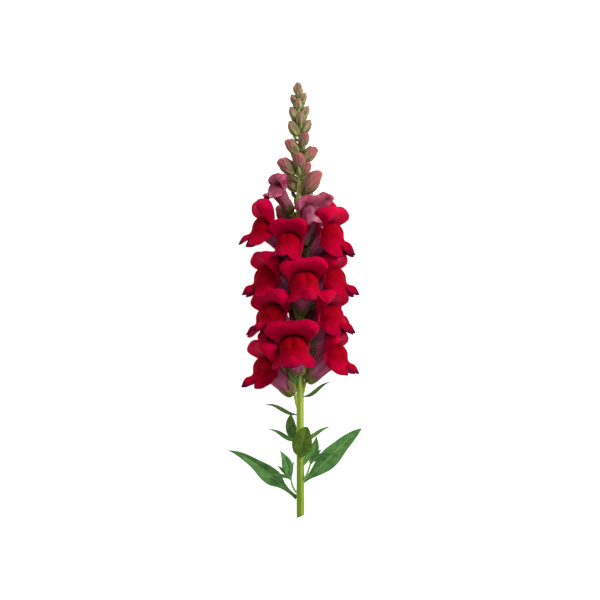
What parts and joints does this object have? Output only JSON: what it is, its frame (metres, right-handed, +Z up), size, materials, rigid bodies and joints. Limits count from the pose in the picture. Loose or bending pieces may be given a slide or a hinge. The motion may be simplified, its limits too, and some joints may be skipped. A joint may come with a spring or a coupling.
{
  "type": "snapdragon flower spike",
  "caption": "Cut snapdragon spike lying on its back: open two-lipped red blooms round a leafy green stem, with half-open blooms and buds towards the tip.",
  "frame": {"origin": "on the surface the spike lies on, under the middle of its bounding box", "axes": "+Y along the stem from the cut end to the tip, +Z up from the surface, +X to the right as seen from above"},
  "size_m": [0.0878, 0.2908, 0.0724],
  "materials": {
    "stem_green": "matt, ribbed, with a fine down",
    "petal_red": "velvety",
    "petal_pink": "velvety",
    "leaf_green": "satin with a paler midrib"
  },
  "bodies": {
    "root": {"stem": "stem_green", "bloom_01": "petal_red", "bloom_02": "petal_red", "bloom_03": "petal_red", "bloom_04": "petal_red", "bloom_05": "petal_red", "bloom_06": "petal_red", "bloom_07": "petal_red", "bloom_08": "petal_red", "bloom_09": "petal_red", "bloom_10": "petal_red", "bloom_11": "petal_red", "bloom_12": "petal_red", "bloom_13": "petal_red", "bloom_14": "petal_red", "bloom_15": "petal_red", "bloom_16": "petal_red", "bloom_17": "petal_red", "bloom_18": "petal_red", "bloom_19": "petal_red", "bloom_20": "petal_red", "young_bloom_1": "petal_pink", "young_bloom_2": "petal_pink", "bud_petals_1": "petal_pink", "bud_petals_2": "petal_pink", "bud_petals_3": "petal_pink", "bud_petals_4": "petal_pink", "bud_petals_5": "petal_pink", "bud_petals_6": "petal_pink", "bud_petals_7": "petal_pink", "bud_petals_8": "petal_pink", "bud_petals_9": "petal_pink", "bud_petals_10": "petal_pink", "bud_petals_11": "petal_pink", "bud_petals_12": "petal_pink", "leaf_1": "leaf_green", "leaf_2": "leaf_green", "leaf_3": "leaf_green", "leaf_4": "leaf_green", "leaf_5": "leaf_green", "leaf_6": "leaf_green", "leaf_7": "leaf_green", "side_shoot_left": "leaf_green", "side_shoot_right": "leaf_green"}
  },
  "joints": []
}
